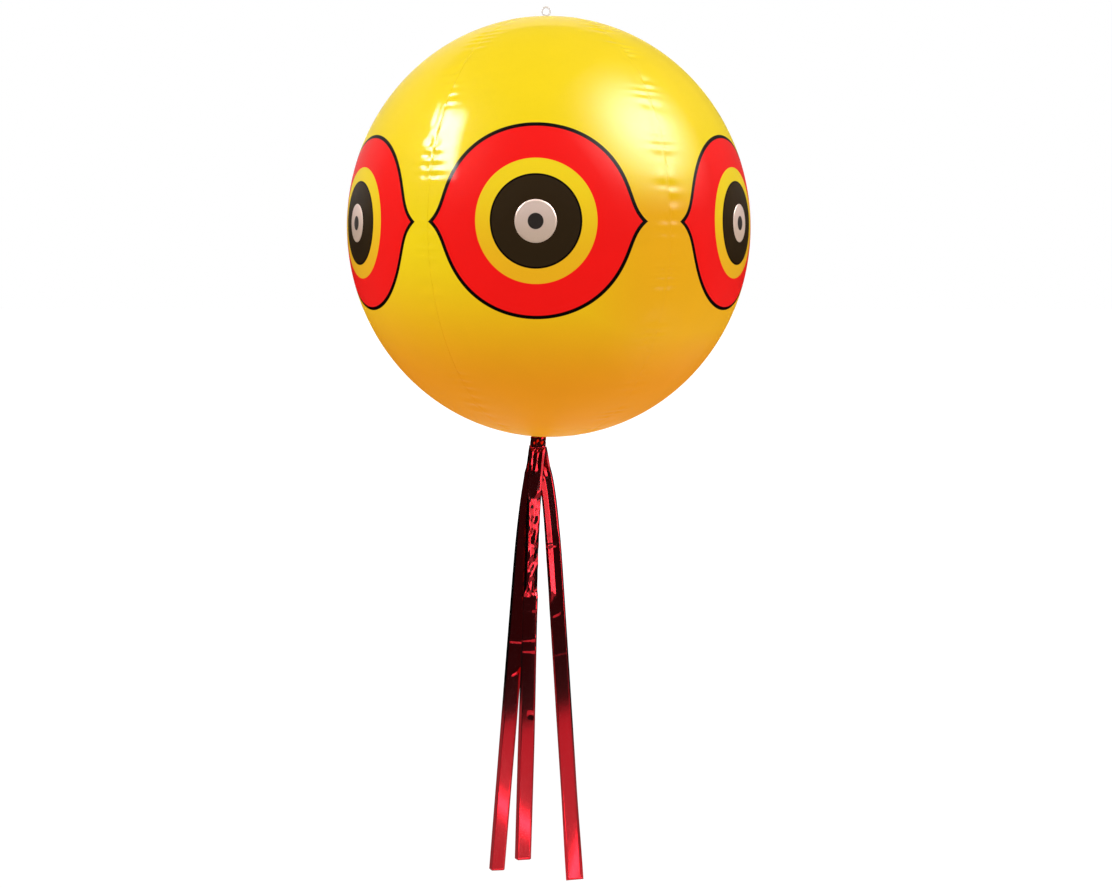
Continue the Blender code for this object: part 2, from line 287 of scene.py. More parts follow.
def printedEyeGroup():
    # Where each ink of the eye lies, for a place on the ball measured from its centre
    tree, given, out = newGroup(
        "printedEye", ("Vector", "Shift"), ("Line", "Red", "Ring", "Iris", "Rim"),
    )
    x, y, z = separate(given["Vector"])
    half = pi / ball["panels"]
    longitude = maths("WRAP", maths("ARCTAN2", x, times(y, -1.0)), half, -half)
    level = distance(x, y)
    latitude = maths(
        "ARCTAN2", maths("DIVIDE", z, ball["halfHeight"]), maths("DIVIDE", level, ball["radius"]),
    )
    across = minus(times(longitude, level), given["Shift"])
    rise = minus(times(latitude, ball["halfHeight"]), eye["rise"])
    reach = distance(across, rise)
    slant = maths("ARCTAN2", absolute(rise), absolute(across))
    sideways = maths("POWER", maths("COSINE", slant), 2.0)
    corner = times(eye["corner"], maths("EXPONENT", maths("DIVIDE", slant, -eye["cornerSpread"])))
    edge = plus(plus(times(sideways, eye["outlineSide"]), eye["outline"]), corner)
    # The stroke keeps its width where the outline runs out to a corner
    slope = maths("DIVIDE", maths("DIVIDE", corner, eye["cornerSpread"]), reach)
    width = times(maths("SQRT", plus(times(slope, slope), 1.0)), eye["stroke"])
    away = minus(reach, edge)
    rim = absolute(minus(reach, eye["iris"]))
    fill(out, {
        "Line": softEdge(minus(absolute(away), width), 0.0, eye["soft"]),
        "Red": softEdge(away, 0.0, eye["soft"]),
        "Ring": softEdge(reach, eye["ring"], eye["soft"]),
        "Iris": softEdge(reach, eye["iris"], eye["soft"]),
        "Rim": ramp(rim, eye["irisRim"] / 2, eye["irisRim"], 1.0, 0.0),
    })
    return tree


filmGrain = filmGrainGroup()
printedEye = printedEyeGroup()

film = {
    "lemon": toLinear(247, 214, 22),
    # painted shade: amber is the film's colour lower down
    "amber": toLinear(238, 150, 22),
    # painted bounce light: the very bottom is lighter again
    "bottom": toLinear(240, 164, 25),
    "lemonHeight": 0.005,  # heights are above the ball's centre
    "amberHeight": -0.135,
    "bounceLightHeights": (-0.200, -0.165),
    "shadeRightFrom": -0.05,  # painted shade: towards the right the lemon gives way to amber higher up
    "shadeRightTo": 0.09,
    "shadeRightHeights": (0.018, 0.060),
    "shadeRightShare": 0.32,
    "ringHeights": (-0.035, 0.06),
    "red": toLinear(250, 22, 19),
    # painted shade: the printed ring is darker lower down
    "ringTop": toLinear(247, 213, 29),
    "ringPaintedShade": toLinear(242, 178, 27),
    "iris": toLinear(48, 34, 16),
    "line": toLinear(6, 3, 3),
    "coat": 0.30,
    "coatLow": 0.01,  # the underside is duller
    "coatHeights": (-0.075, 0.0),
    "grain": 40.0,
}


def filmMaterial(name, shift=None):
    # Pearl yellow film under a clear gloss, printed with an eye unless shift is None. Its base
    # colour holds painted shade, lemon above and amber lower down and on the right, and painted
    # bounce light at the very bottom
    material, tree, shader = newMaterial(name, {
        "Specular IOR Level": 0.03, "Coat Roughness": 0.03, "Coat IOR": 1.5,
    })
    place = coordinates(tree, location=-ballCentre)
    aside, depth, height = separate(place)
    # Painted shade: lemon above gives way to amber lower down
    fade = ramp(height, film["amberHeight"], film["lemonHeight"])
    # Painted shade on the right: amber reaches higher up there
    deep = ramp(height, *film["shadeRightHeights"], 1 - film["shadeRightShare"], 0.0)
    deep = times(deep, ramp(aside, film["shadeRightFrom"], film["shadeRightTo"]))
    fade = maths("MINIMUM", fade, minus(1.0, deep))
    # Painted bounce light: the very bottom is lighter than the amber above it
    amber = mix(ramp(height, *film["bounceLightHeights"]), film["bottom"], film["amber"])
    colour = mix(fade, amber, film["lemon"])
    grain = useGroup(filmGrain, {"Vector": place, "Scale": film["grain"]})
    if shift is not None:
        inks = useGroup(printedEye, {"Vector": place, "Shift": shift})
        # Painted shade on the ring's ink, darker lower down
        ring = mix(ramp(height, *film["ringHeights"]), film["ringPaintedShade"], film["ringTop"])
        for ink, tint in (
            ("Red", film["red"]), ("Ring", ring), ("Iris", film["iris"]),
            ("Rim", film["line"]), ("Line", film["line"]),
        ):
            colour = mix(inks[ink], colour, tint)
    tone = scaled(grain["Mottle"], 0.10, 0.95)
    shade = addNode("ShaderNodeVectorMath", {0: colour, "Scale": tone}, operation="SCALE")
    fill(shader, {
        "Base Color": shade.outputs[0],
        "Roughness": scaled(grain["Scuff"], 0.10, 0.42),
        "Coat Weight": ramp(height, *film["coatHeights"], film["coatLow"], film["coat"]),
        "Normal": bumpOf(grain["Ripple"], 0.00012, 0.6),
    })
    return material


silver = {
    "foil": toLinear(228, 201, 187),
    # painted shade: the foil is darker towards the bottom of the pupil
    "foilPaintedShade": toLinear(220, 191, 168),
    "dot": toLinear(40, 28, 20),
    "grain": 130.0,
}


def silverMaterial():
    material, tree, shader = newMaterial("silverFoil", {
        "Metallic": 0.3, "Coat Weight": 0.2, "Coat Roughness": 0.08,
    })
    x, y, z = separate(coordinates(tree, "UV", location=(-0.5, -0.5, 0)))
    reach = times(distance(x, y), 2 * eye["pupil"])
    dot = softEdge(reach, eye["dot"], eye["soft"])
    grain = useGroup(filmGrain, {"Vector": coordinates(tree), "Scale": silver["grain"]})
    # Painted shade: the foil darkens towards the bottom of the pupil
    foil = mix(ramp(y, -0.5, 0.5), silver["foilPaintedShade"], silver["foil"])
    foil = mix(times(grain["Mottle"], 0.12), foil, silver["dot"])
    fill(shader, {
        "Base Color": mix(dot, foil, silver["dot"]),
        "Roughness": scaled(grain["Mottle"], 0.2, 0.34),
        "Normal": bumpOf(grain["Ripple"], 0.0001, 0.8),
    })
    return material


def vinylMaterial(name, colour, transmission, rough):
    # Soft moulded vinyl with faint flow marks
    material, tree, shader = newMaterial(name, {
        "IOR": 1.52, "Transmission Weight": transmission,
        "Subsurface Radius": (0.002, 0.002, 0.002), "Subsurface Scale": 0.5,
        "Subsurface Weight": 0.3 if transmission < 0.5 else 0.0,
    })
    grain = useGroup(filmGrain, {"Vector": coordinates(tree), "Scale": 260.0})
    darker = tuple(channel * 0.86 for channel in colour[:3]) + (1.0,)
    fill(shader, {
        "Base Color": mix(times(grain["Mottle"], 0.8), colour, darker),
        "Roughness": scaled(grain["Scuff"], 0.15, rough),
        "Normal": bumpOf(grain["Ripple"], 0.0001, 0.5),
    })
    return material


red = {
    "foil": toLinear(230, 30, 44),
    "deep": toLinear(206, 20, 34),
    "rough": 0.09,
    "grain": 60.0,
    "lines": (34, 5, 1),  # draw lines across and along a strip
    "handled": (0.45, 0.85),  # the foil is crumpled near the knot and flat towards its end
}


def redMaterial():
    # Metallised film under red lacquer, with draw lines along it and fine crumpling
    material, tree, shader = newMaterial("redFoil", {
        "Metallic": 1.0, "Coat Weight": 0.4, "Coat Roughness": 0.28, "Coat IOR": 1.5,
    })
    lines = noiseOf(coordinates(tree, "UV", scale=red["lines"]), 1.0, 3.0)
    grain = useGroup(filmGrain, {"Vector": coordinates(tree), "Scale": red["grain"]})
    tone = plus(times(lines, 0.5), times(grain["Mottle"], 0.5))
    height = plus(times(lines, 0.35), grain["Ripple"])
    handled = ramp(separate(coordinates(tree, "UV"))[1], *red["handled"], 0.06, 1.0)
    fill(shader, {
        "Base Color": mix(tone, red["foil"], red["deep"]),
        "Roughness": scaled(grain["Scuff"], 0.12, red["rough"]),
        "Normal": bumpOf(times(height, handled), 0.0003, 0.5),
    })
    return material


# Mesh building


def meshOf(name, bm):
    mesh = bpy.data.meshes.new(name)
    bm.to_mesh(mesh)
    bm.free()
    return mesh


def addObject(name, data):
    made = bpy.data.objects.new(name, data)
    bpy.context.scene.collection.objects.link(made)
    return made


def addMesh(name, mesh, material, body, slotName, replaced=(), sharpAngle=40):
    mesh.shade_smooth()
    mesh.set_sharp_from_angle(angle=radians(sharpAngle))
    mesh.materials.clear()
    mesh.materials.append(material)
    piece = addObject(name, mesh)
    if body:
        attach(piece, body)
    if replaced:
        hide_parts(*replaced)
    return piece


def addPiece(name, bm, *looks):
    return addMesh(name, meshOf(name, bm), *looks)


def thicken(piece, thickness, offset):
    modifier = piece.modifiers.new("thickness", "SOLIDIFY")
    modifier.thickness = thickness
    modifier.offset = offset
    modifier.use_even_offset = True


def faceOutwards(bm, centre):
    # Turns an open sheet over if it faces the centre
    bm.normal_update()
    facing = sum(face.normal.dot(face.calc_center_median() - centre) for face in bm.faces)
    if facing < 0:
        bmesh.ops.reverse_faces(bm, faces=bm.faces)


def lineOf(bm, points):
    verts = [bm.verts.new(point) for point in points]
    return verts, [bm.edges.new(pair) for pair in zip(verts, verts[1:])]


def moveBy(bm, verts, x, y, z):
    bmesh.ops.translate(bm, verts=verts, vec=(x, y, z))


def spinRound(bm, geom, axis, steps, near=0.0000005):
    # A full turn about a line through the origin, closed where it ends and at its poles
    bmesh.ops.spin(
        bm, geom=geom, cent=(0, 0, 0), axis=axis, angle=tau, steps=steps, use_merge=True,
    )
    bmesh.ops.remove_doubles(bm, verts=bm.verts, dist=near)


def discOf(radius, rings, place):
    # A round sheet with its own UV map, laid on the ball by place(across, up)
    bm = bmesh.new()
    verts, edges = lineOf(bm, [(radius * ring / rings, 0, 0) for ring in range(rings + 1)])
    spinRound(bm, verts + edges, (0, 0, 1), roundSteps)
    layer = bm.loops.layers.uv.new("UVMap")
    for face in bm.faces:
        for corner in face.loops:
            corner[layer].uv = (corner.vert.co.xy / radius + Vector((1, 1))) / 2
    for vert in bm.verts:
        vert.co = place(vert.co.x, vert.co.y)
    faceOutwards(bm, ballCentre)
    return bm


# Panels


def seamRelief(away, along, seam, width):
    # The weld draws the film in, and the film beside it buckles in short waves across the seam
    narrow = min(1.0, width / ball["narrow"]) ** 2
    dip = -ball["dip"] * exp(-(away / ball["dipReach"]) ** 2)
    side = 3.0 if away > 0 else 0.0
    strength = noise.noise(Vector((along / ball["puckerPatch"], seam * 7.1 + side, 0.3)))
    strength = ease((strength + 0.45) / 0.7)
    wander = noise.noise(Vector((along / ball["puckerWander"], seam * 5.3, 4.7)))
    wave = sin(tau * (along / ball["puckerLength"] + 1.3 * wander))
    reach = abs(away) / ball["puckerReach"]
    return narrow * (dip + ball["pucker"] * strength * wave * reach * exp(1 - reach))


def panelPoint(index, across, latitude):
    # across runs from -1 to 1 over the whole width of the panel, laps included
    level = ball["radius"] * cos(latitude)
    half = pi / ball["panels"]
    lap = min(asin(min(ball["lap"] / 2 / level, 1)), half / 4)
    crowded = copysign(1 - (1 - abs(across)) ** ball["crowding"], across)
    turn = crowded * (half + lap)
    along = latitude * ball["halfHeight"]
    right = (turn - half) * level
    left = (turn + half) * level
    lift = seamRelief(right, along, index, half * level)
    lift += seamRelief(left, along, (index - 1) % ball["panels"], half * level)
    lift += ball["lapRise"] * ease((right + lap * level + ball["lapEase"]) / ball["lapEase"])
    return ballPoint(tau * index / ball["panels"] + turn, latitude, lift)


def makePanel(index, name, material):
    top = acos(ball["poleHole"] / ball["radius"])
    wide = tau / ball["panels"]
    bm = bmesh.new()
    start = bm.verts.new((cos(top), 0, sin(top)))
    bmesh.ops.spin(
        bm, geom=[start], cent=(0, 0, 0), axis=(0, 1, 0), angle=2 * top, steps=ball["rows"],
    )
    bmesh.ops.spin(
        bm, geom=bm.verts[:] + bm.edges[:], cent=(0, 0, 0), axis=(0, 0, 1), angle=wide,
        steps=ball["columns"],
    )
    for vert in bm.verts:
        across = 2 * atan2(vert.co.y, vert.co.x) / wide - 1
        latitude = asin(min(max(vert.co.z, -1), 1))
        vert.co = panelPoint(index, min(max(across, -1), 1), latitude)
    faceOutwards(bm, ballCentre)
    panel = addPiece("panel_" + name, bm, material, "balloon", "yellow_film", ["gore_" + name])
    thicken(panel, ball["film"], -1)


def makePupil(index, name, material):
    shift = eye["frontShift"] if index == 0 else 0.0

    def place(across, up):
        latitude = (eye["rise"] + up) / ball["halfHeight"]
        longitude = tau * index / ball["panels"]
        longitude += (shift + across) / (ball["radius"] * cos(latitude))
        return ballPoint(longitude, latitude, eye["foilLift"])

    bm = discOf(eye["pupil"], 12, place)
    pupil = addPiece("foil_" + name, bm, material, "balloon", "silver_foil", ["pupil_" + name])
    thicken(pupil, eye["foilThick"], 1)


# Loops, one on top and one below, each on a round weld base with a polar patch under it
loop = {
    "hole": 0.00305,
    "wall": 0.0015,
    "thick": 0.0016,
    "neckHeight": 0.00275,
    "neckWidth": 0.0036,
    "neckThick": 0.0014,
    "base": 0.007,
    "baseThick": 0.0008,
    "filletLow": 0.0038,
    "filletHigh": 0.0016,
    "filletHeight": 0.0011,
    "topOffset": -0.0024,
    "lowOffset": -0.012,
    "patchMargin": 0.004,
    "patchThick": 0.0003,
    "weldDepth": 0.00008,
    "weldInset": 0.002,
    "weldWidth": 0.0006,
    "voxel": 0.00016,
}
baseLow = 3 * loop["patchThick"]
loopHeight = baseLow + loop["baseThick"] + loop["neckHeight"] + loop["hole"] + loop["wall"]


def polarFrame(offset, side):
    longitude = radians(90) if offset > 0 else radians(-90)
    return surfaceFrame(longitude, side * acos(abs(offset) / ball["radius"]))


def makePatch(name, side, offset, material):
    radius = abs(offset) + loop["base"] + loop["patchMargin"]

    def place(across, up):
        reach = hypot(across, up)
        inset = (reach - radius + loop["weldInset"]) / loop["weldWidth"]
        weld = loop["weldDepth"] * exp(-inset ** 2)
        latitude = side * acos(reach / ball["radius"])
        return ballPoint(atan2(across, -side * up), latitude, ball["gap"] - weld)

    bm = discOf(radius, 40, place)
    replaced = ["polar_patch_" + name]
    patch = addPiece("patch_" + name, bm, material, "balloon", "yellow_film", replaced)
    thicken(patch, loop["patchThick"], 1)


def makeLoop(name, offset, side, material):
    # Ring, neck and base are made apart, then fused and smoothed as one moulding
    bm = bmesh.new()
    middle = loop["hole"] + loop["wall"] / 2
    bmesh.ops.create_circle(bm, cap_ends=False, segments=24, radius=1)
    for vert in bm.verts:  # a flat section with round edges
        x, y = (copysign(abs(value) ** 0.6, value) for value in vert.co.xy)
        vert.co = Vector((middle + x * loop["wall"] / 2, y * loop["thick"] / 2, 0))
    spinRound(bm, bm.verts[:] + bm.edges[:], (0, 1, 0), roundSteps)
    bmesh.ops.recalc_face_normals(bm, faces=bm.faces)
    moveBy(bm, bm.verts, 0, 0, loopHeight)
    neckHigh = loopHeight - loop["hole"] - loop["wall"] / 3
    neck = bmesh.ops.create_cube(bm, size=1)["verts"]
    bmesh.ops.scale(
        bm, vec=(loop["neckWidth"], loop["neckThick"], neckHigh - baseLow), verts=neck,
    )
    moveBy(bm, neck, 0, 0, (neckHigh + baseLow) / 2)
    bmesh.ops.create_cone(
        bm, cap_ends=True, segments=roundSteps, radius1=loop["base"], radius2=loop["base"] * 0.97,
        depth=loop["baseThick"], matrix=Matrix.Translation((0, 0, baseLow + loop["baseThick"] / 2)),
    )
    fillet = bmesh.ops.create_cone(  # where the neck stands on the base
        bm, cap_ends=True, segments=64, radius1=loop["filletLow"], radius2=loop["filletHigh"],
        depth=loop["filletHeight"],
        matrix=Matrix.Translation((0, 0, baseLow + loop["baseThick"] + 0.0004)),
    )["verts"]
    bmesh.ops.scale(bm, vec=(1, 0.7, 1), verts=fillet)
    mesh = meshOf("loopParts", bm)
    mesh.transform(polarFrame(offset, side))
    draft = addObject("loopDraft", mesh)
    remesh = draft.modifiers.new("fuse", "REMESH")
    remesh.mode = "VOXEL"
    remesh.voxel_size = loop["voxel"]
    smooth = draft.modifiers.new("soften", "SMOOTH")
    smooth.factor = 0.5
    smooth.iterations = 6
    graph = bpy.context.evaluated_depsgraph_get()
    fused = bpy.data.meshes.new_from_object(draft.evaluated_get(graph))
    bpy.data.objects.remove(draft)
    fused.name = name
    addMesh(name + "_moulding", fused, material, "balloon", "clear_vinyl", [name], 180)


# Valve on the back panel: a flange, and a stem that pushes in, with plug, strap and flap
valve = {
    "latitude": radians(-62),
    "flange": 0.015,
    "flangeThick": 0.0008,
    "flangeEdge": 0.0004,
    "groove": 0.00012,
    "stem": 0.0045,
    "bore": 0.003,
    "lip": 0.0062,
    "lipThick": 0.001,
    "depth": 0.014,
    "stop": 0.006,
    "stopThick": 0.001,
    "flap": 0.0042,
    "flapThick": 0.0004,
    "plugHead": 0.005,
    "plugHeadThick": 0.0013,
    "plugStub": 0.0062,
    "plugTip": 0.0024,
    "strapWidth": 0.003,
    "strapThick": 0.0006,
    "strapReach": 0.0035,
    "bevel": 0.00012,
}


def turned(profile):
    # A closed outline of (radius, height) corners spun round the local Z axis, its corners eased
    bm = bmesh.new()
    verts, edges = lineOf(bm, [(radius, 0, height) for radius, height in profile])
    edges.append(bm.edges.new((verts[-1], verts[0])))
    spinRound(bm, verts + edges, (0, 0, 1), roundSteps)
    loose = [edge for edge in bm.edges if not edge.link_faces]
    bmesh.ops.delete(bm, geom=loose, context="EDGES")
    bmesh.ops.recalc_face_normals(bm, faces=bm.faces)
    sharp = [edge for edge in bm.edges if edge.calc_face_angle(0) > radians(30)]
    bmesh.ops.bevel(
        bm, geom=sharp, offset=valve["bevel"], segments=2, profile=0.5, affect="EDGES", material=-1,
    )
    return bm


def makeValve(clear, milky):
    gap = ball["gap"]
    place = surfaceFrame(pi, valve["latitude"])
    lip, bore, head = valve["lip"], valve["bore"], valve["plugHead"]
    inner = valve["stem"] + gap
    flangeTop = gap + valve["flangeThick"]
    lipLow = flangeTop + gap
    lipHigh = lipLow + valve["lipThick"]
    plugLow = lipHigh + gap
    plugHigh = plugLow + valve["plugHeadThick"]

    def drop(radius):
        return ball["radius"] - sqrt(ball["radius"] ** 2 - radius ** 2)

    def addTurned(name, bm, material, body, slotName, node):
        bm.transform(place)
        return addPiece(name, bm, material, body, slotName, [node])

    rim = valve["flange"]
    under = [inner + (rim - inner) * step / 8 for step in range(9)]
    flange = [(radius, gap - drop(radius)) for radius in under]
    flange.append((rim, gap - drop(rim) + valve["flangeEdge"]))
    slope = valve["flangeThick"] - valve["flangeEdge"]
    for share in (0.85, 0.8, 0.75, 0.7, 0.6):  # a weld groove runs round near the rim
        radius = inner + (rim - inner) * share
        high = gap + valve["flangeEdge"] + slope * (1 - share) * 2
        groove = valve["groove"] if share in (0.8, 0.75) else 0.0
        flange.append((radius, min(high, flangeTop) - groove - drop(radius)))
    flange.append((lip + 0.001, flangeTop - drop(lip)))
    flange.append((inner, flangeTop - drop(inner)))
    addTurned("valve_collar", turned(flange), clear, "balloon", "clear_vinyl", "valve_flange")

    bottom = -valve["depth"]
    stopHigh = valve["stopThick"] + bottom
    stem = (
        (bore, bottom), (valve["stop"], bottom), (valve["stop"], stopHigh),
        (valve["stem"], stopHigh), (valve["stem"], lipLow), (lip, lipLow),
        (lip, lipHigh), (bore, lipHigh),
    )
    addTurned("valve_tube", turned(stem), clear, "valve", "clear_vinyl", "valve_stem")

    stub = bore - gap
    stubLow = plugLow - valve["plugStub"]
    edge = valve["plugHeadThick"] / 3
    plug = (
        (0, stubLow), (valve["plugTip"], stubLow), (stub, stubLow + valve["plugStub"] / 3),
        (stub, plugLow), (head, plugLow), (head, plugHigh - edge), (head - edge, plugHigh),
        (head * 0.62, plugHigh), (head * 0.5, plugHigh - edge), (0, plugHigh - edge),
    )
    addTurned("valve_stopper", turned(plug), milky, "plug", "plug_vinyl", "valve_plug")

    bm = bmesh.new()
    level = bottom - gap - valve["flapThick"] / 2
    bmesh.ops.create_cone(
        bm, cap_ends=True, segments=64, radius1=valve["flap"], radius2=valve["flap"],
        depth=valve["flapThick"], matrix=Matrix.Translation((0, 0, level)),
    )
    addTurned("valve_leaf", bm, clear, "flap", "clear_vinyl", "valve_flap")

    # The strap leaves the lip, bends back on itself and reaches the plug's head
    low = (lipLow + lipHigh) / 2
    high = (plugLow + plugHigh) / 2
    bend = (high - low) / 2
    turnAt = lip + valve["strapReach"]
    route = [(lip + gap + 0.001 * step, 0, low) for step in range(3)]
    for step in range(17):
        angle = pi * (step / 16 - 1 / 2)
        route.append((turnAt + bend * cos(angle), 0, (low + high) / 2 + bend * sin(angle)))
    route += [(head + gap + 0.001 * step, 0, high) for step in (3, 2, 1, 0)]
    bm = bmesh.new()
    verts, edges = lineOf(bm, route)
    moveBy(bm, verts, 0, -valve["strapWidth"] / 2, 0)
    for step in range(4):
        made = bmesh.ops.extrude_edge_only(bm, edges=edges)["geom"]
        verts = [item for item in made if isinstance(item, bmesh.types.BMVert)]
        edges = [item for item in made if isinstance(item, bmesh.types.BMEdge)]
        edges = [item for item in edges if all(vert in verts for vert in item.verts)]
        moveBy(bm, verts, 0, valve["strapWidth"] / 4, 0)
    bmesh.ops.recalc_face_normals(bm, faces=bm.faces)
    bm.transform(place)
    strap = addPiece("valve_tether", bm, clear, None, "clear_vinyl", ["plug_strap"])
    thicken(strap, valve["strapThick"], 0)
    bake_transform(strap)


# Knot: the gathered tops of the streamers, with a link through the lower loop
knot = {
    "core": 0.0016,
    "radius": 0.0087,
    "depth": 0.0072,
    "clearance": 0.0006,
    "linkWidth": 0.0019,
    "linkThick": 0.0009,
    "linkClearance": 0.0005,
    "pleats": 7,
    "crush": 0.00045,
    "crushSize": 0.0022,
    "rings": 14,
    "steps": 112,
}
knotPivot = Vector(joints["streamer_swing"]["pos_m"])


def makeKnot(material):
    # A fan of pleats that spreads down from the link
    level = -(loop["wall"] / 2 + knot["clearance"])
    bm = bmesh.new()
    half = knot["depth"] / 2
    start = asin(-level / knot["radius"])
    core, outer, rings = knot["core"], knot["radius"], knot["rings"]
    radii = [core + (outer - core) * ring / rings for ring in range(rings + 1)]
    outline = [(radius, -half, 0) for radius in radii]
    outline += [(outer, -half + 2 * half * step / 8, 0) for step in range(1, 8)]
    outline += [(radius, half, 0) for radius in reversed(radii)]
    verts, edges = lineOf(bm, outline)
    edges.append(bm.edges.new((verts[-1], verts[0])))
    side = bmesh.ops.contextual_create(bm, geom=edges)["faces"]
    bmesh.ops.rotate(bm, verts=bm.verts, cent=(0, 0, 0), matrix=Matrix.Rotation(start, 3, "Y"))
    bmesh.ops.spin(
        bm, geom=side + edges + verts, cent=(0, 0, 0), axis=(0, 1, 0), angle=pi - 2 * start,
        steps=knot["steps"],
    )
    bmesh.ops.remove_doubles(bm, verts=bm.verts, dist=0.0000005)
    bmesh.ops.recalc_face_normals(bm, faces=bm.faces)
    for vert in bm.verts:
        x, y, z = vert.co
        radius = hypot(x, z)
        angle = atan2(-z, x)
        far = radius / knot["radius"]
        fold = abs((angle / pi * knot["pleats"] + 0.3 * copysign(1, y)) % 1 * 2 - 1)
        crush = noise.noise(Vector((x, y, z)) / knot["crushSize"]) * knot["crush"]
        shrink = 0.30 + 0.62 * ease(far * 1.1)
        y *= shrink * (1 - 0.28 * fold * ease(far * 1.5))
        radius *= 1 - 0.05 * fold * ease(2 * far - 1) + crush * 20
        radius = min(radius, knot["radius"])
        z = min(-radius * sin(angle), level)
        vert.co = knotPivot + Vector((radius * cos(angle), y + crush, z))
    addPiece("streamer_bunch", bm, material, "knot", "red_foil", ["streamer_knot"], 60)

    bm = bmesh.new()
    reach = hypot(loop["wall"], loop["thick"]) / 2 + knot["linkClearance"] + knot["linkThick"]
    bmesh.ops.create_circle(bm, segments=36, radius=1)
    for vert in bm.verts:  # the foil is twisted into a ridged strand
        x, y, z = vert.co
        size = 1 - 0.10 * abs(sin(4.5 * atan2(y, x)))
        vert.co = Vector((x * knot["linkWidth"] * size, reach + y * knot["linkThick"] * size, 0))
    spinRound(bm, bm.verts[:] + bm.edges[:], (1, 0, 0), 64)
    bmesh.ops.recalc_face_normals(bm, faces=bm.faces)
    moveBy(bm, bm.verts, *knotPivot)
    addPiece("streamer_link", bm, material, "knot", "red_foil", [], 60)


# Cuff: the cut ends of the streamers stand up round the loop that they are tied to
cuff = {
    "low": -0.0034,
    "high": 0.0078,
    "shift": 0.0006,
    "lowHalf": (0.0090, 0.0056),
    "highHalf": (0.0083, 0.0033),
    "clear": 0.00875,  # the streamers turn round the pivot outside this
    "clearBelow": 0.0036,
    "ruffle": 0.0009,
    "thick": 0.0001,
    "pleats": 11,
    "rows": 24,
    "steps": 198,
    "fixedAbove": 0.0065,
}


def makeCuff(material):
    bm = bmesh.new()
    verts, edges = lineOf(bm, [(1, 0, row / cuff["rows"]) for row in range(cuff["rows"] + 1)])
    spinRound(bm, verts + edges, (0, 0, 1), cuff["steps"], 0.0001)
    bm.normal_update()
    for vert in bm.verts:
        angle = atan2(vert.co.y, vert.co.x)
        high = vert.co.z
        fold = abs((angle / pi * cuff["pleats"] + 0.25 * sin(3 * angle)) % 2 - 1) - 0.5
        crush = noise.noise(Vector((cos(angle) * 2.2, sin(angle) * 2.2, high * 2.4)))
        size = 1 + fold * (0.16 + 0.16 * high) + 0.10 * crush
        halves = zip(cuff["lowHalf"], cuff["highHalf"])
        wide, deep = (low + (top - low) * ease(high) for low, top in halves)
        x = cuff["shift"] + wide * cos(angle) * (1 + 0.05 * crush)
        y = deep * sin(angle) * size
        ruffle = cuff["ruffle"] * noise.noise(Vector((cos(angle) * 1.7, sin(angle) * 1.7, 5.0)))
        z = cuff["low"] + (cuff["high"] - cuff["low"]) * high + ruffle * (2 * high - 1)
        if z < cuff["clearBelow"]:
            x = copysign(min(abs(x), sqrt(cuff["clear"] ** 2 - z ** 2)), x)
        vert.co = knotPivot + Vector((x, y, z))
    faceOutwards(bm, knotPivot)
    piece = addPiece("streamer_cuff", bm, material, None, "red_foil", [], 60)
    thicken(piece, cuff["thick"], -1)
    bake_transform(piece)


# Streamers: strips of metallised film, gathered in pleats at the knot and flat at their ends
strip = {
    "width": 0.0215,
    "thick": 0.0002,
    "leadSettle": 0.030,
    "topFlatten": 0.020,
    "topSpread": 0.06,  # the strips are wider where they leave the knot
    "spreadReach": 0.016,
    "pleats": 3,
    "gathered": 50,  # the pleats' slope, in degrees
    "stations": (0.0, 0.25, 0.75, 1.0),
    "rows": 420,
    "columns": 48,
    "crowding": 1.2,
    "fadeFrom": 0.004,  # the gathered pleats give way to each strip's own folds over this stretch
    "fadeTo": 0.034,
    "calmFrom": 0.18,  # hardly any waves are left below this
    "calmTo": 0.28,
    "slowWave": (0.060, 0.0003),  # length and height
    "quickWave": (0.016, 0.00008),
    "endCurl": 0.0003,
    "endReach": 0.0016,
}
